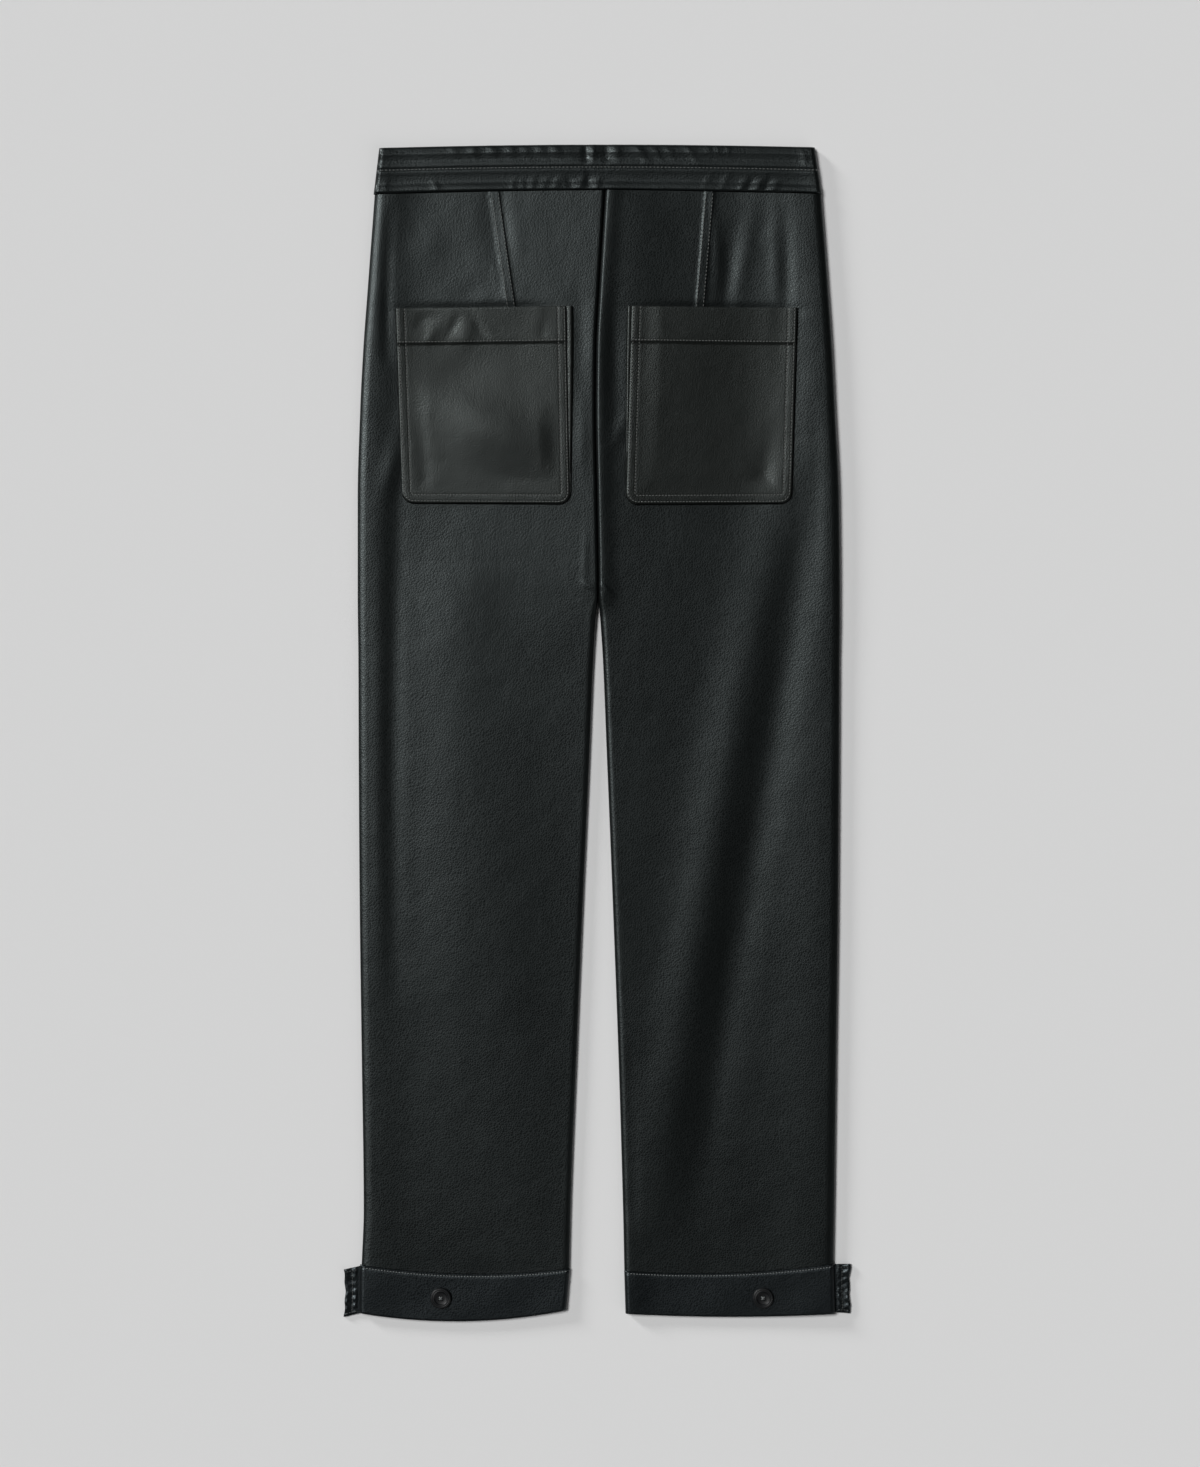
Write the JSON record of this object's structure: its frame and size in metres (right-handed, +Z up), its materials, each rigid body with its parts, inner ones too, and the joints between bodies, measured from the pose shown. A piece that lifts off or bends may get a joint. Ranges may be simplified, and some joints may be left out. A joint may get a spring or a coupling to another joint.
{
  "type": "trousers",
  "caption": "Straight black faux leather trousers laid flat, back up: waistband, back darts, two patch pockets and buttoned cuffs with side tabs.",
  "frame": {"origin": "on the surface the trousers lie on, under the middle of their laid outline", "axes": "+Y along the legs towards the waist, +Z up out of the back of the trousers, +X towards the wearer's right leg"},
  "size_m": [0.4459, 1.0343, 0.0128],
  "materials": {
    "faux_leather": "satin, fine pebble grain",
    "pocket_leather": "satin, fine pebble grain",
    "button_resin": "polished"
  },
  "bodies": {
    "root": {"back_panel_left": "faux_leather", "back_panel_right": "faux_leather", "front_panel_left": "faux_leather", "front_panel_right": "faux_leather", "waistband_back": "faux_leather", "waistband_front_left": "faux_leather", "waistband_front_right": "faux_leather", "pocket_left": "pocket_leather", "pocket_right": "pocket_leather", "gusset_left": "pocket_leather", "gusset_right": "pocket_leather", "cuff_back_left": "faux_leather", "cuff_back_right": "faux_leather", "cuff_front_left": "faux_leather", "cuff_front_right": "faux_leather", "cuff_tab_left": "faux_leather", "cuff_tab_right": "faux_leather", "button_left": "button_resin", "button_right": "button_resin"}
  },
  "joints": []
}
